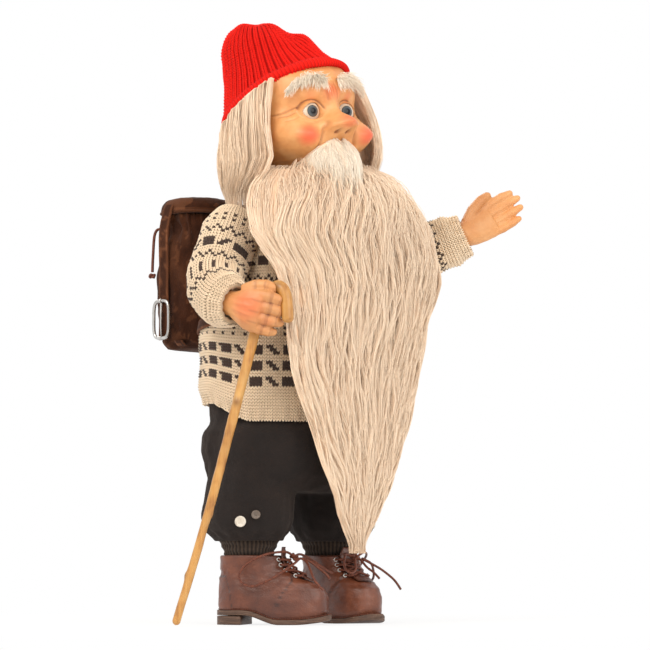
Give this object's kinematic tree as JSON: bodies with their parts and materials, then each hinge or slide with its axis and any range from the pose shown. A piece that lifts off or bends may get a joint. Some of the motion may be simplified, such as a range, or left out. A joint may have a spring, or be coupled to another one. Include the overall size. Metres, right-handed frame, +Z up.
{
  "type": "christmas gnome figurine",
  "caption": "Standing cloth-bodied gnome doll in a knitted hat and sweater, with a long white beard, laced boots, a walking stick and a small rucksack.",
  "frame": {"origin": "on the floor, under the middle of the doll's bounding box", "axes": "+Z up, -Y the way the doll's chest and face look, +X towards the doll's left hand"},
  "size_m": [0.3038, 0.2172, 0.4601],
  "materials": {
    "skin": "satin, hand-painted cast resin with blushed nose, cheeks and fingertips",
    "eye": "polished",
    "fur": "long soft curly white fibre",
    "hat_knit": "ribbed wool knit",
    "knit": "cream wool knit with small dark figures",
    "stuffing": "plain cotton over fibre filling",
    "velour": "short dark pile",
    "sock": "coarse dark wool",
    "boot": "waxed brown leather",
    "lace": "dull thong",
    "sole": "matt",
    "suede": "dark brown suede",
    "steel": "bright wire",
    "root": "peeled and varnished root",
    "button": "satin",
    "wood": "plain turned dowel, inside the doll"
  },
  "bodies": {
    "figure": {"torso_core": "stuffing", "sweater_body": "knit", "sweater_neck_band": "knit", "neck_post": "wood", "trousers": "velour", "leg_core_right": "wood", "leg_core_left": "wood", "sock_right": "sock", "sock_left": "sock", "cuff_button_pale_right": "button", "cuff_button_pale_left": "button", "cuff_button_dark_right": "button", "cuff_button_dark_left": "button", "boot_upper_right": "boot", "boot_upper_left": "boot", "boot_sole_right": "sole", "boot_sole_left": "sole", "boot_heel_right": "sole", "boot_heel_left": "sole", "boot_tongue_right": "boot", "boot_tongue_left": "boot", "lacing_right": "lace", "lacing_left": "lace", "lace_bow_outer_right": "lace", "lace_bow_outer_left": "lace", "lace_bow_inner_right": "lace", "lace_bow_inner_left": "lace", "bag_body": "suede", "bag_pocket": "suede", "bag_drawstring": "lace", "bag_cord_end": "lace", "bag_cord_knot": "lace", "strap_keeper_right": "suede", "strap_keeper_left": "suede", "shoulder_strap_right": "suede", "shoulder_strap_left": "suede"},
    "head": {"head": "skin", "eye_right": "eye", "eye_left": "eye", "brow_right": "fur", "brow_left": "fur", "moustache": "fur", "beard": "fur", "wig": "fur"},
    "hat": {"knit_hat": "hat_knit"},
    "arm_right": {"sleeve_right": "knit", "arm_core_right": "stuffing", "hand_right": "skin"},
    "arm_left": {"sleeve_left": "knit", "arm_core_left": "stuffing", "hand_left": "skin"},
    "stick": {"walking_stick": "root"},
    "bag_lid": {"bag_lid": "suede", "lid_strap_right": "suede", "lid_strap_left": "suede", "buckle_frame_right": "steel", "buckle_frame_left": "steel", "buckle_prong_right": "steel", "buckle_prong_left": "steel"}
  },
  "joints": [
    {"name": "head_turn", "type": "hinge", "parent": "figure", "child": "head", "pos_m": [-0.0152, -0.01144, 0.34], "axis": [0, 0, 1], "range_deg": [-30, 30], "deforming": ["beard"]},
    {"name": "hat_off", "type": "slide", "parent": "head", "child": "hat", "axis": [-0.0782, 0.442, 0.8936], "range_m": [0, 0.1]},
    {"name": "right_shoulder", "type": "hinge", "parent": "figure", "child": "arm_right", "pos_m": [-0.0802, -0.00944, 0.287], "axis": [-1, 0, 0], "range_deg": [0, 20], "deforming": ["beard"]},
    {"name": "left_shoulder", "type": "hinge", "parent": "figure", "child": "arm_left", "pos_m": [0.0498, -0.00944, 0.287], "axis": [-0.6569, -0.754, 0], "range_deg": [-15, 30], "deforming": ["beard"]},
    {"name": "stick_draw", "type": "slide", "parent": "arm_right", "child": "stick", "axis": [0.1876, -0.1605, 0.969], "range_m": [0, 0.04]},
    {"name": "bag_lid_hinge", "type": "hinge", "parent": "figure", "child": "bag_lid", "pos_m": [-0.0152, 0.05071, 0.3123], "axis": [1, 0, 0], "range_deg": [0, 50]}
  ]
}
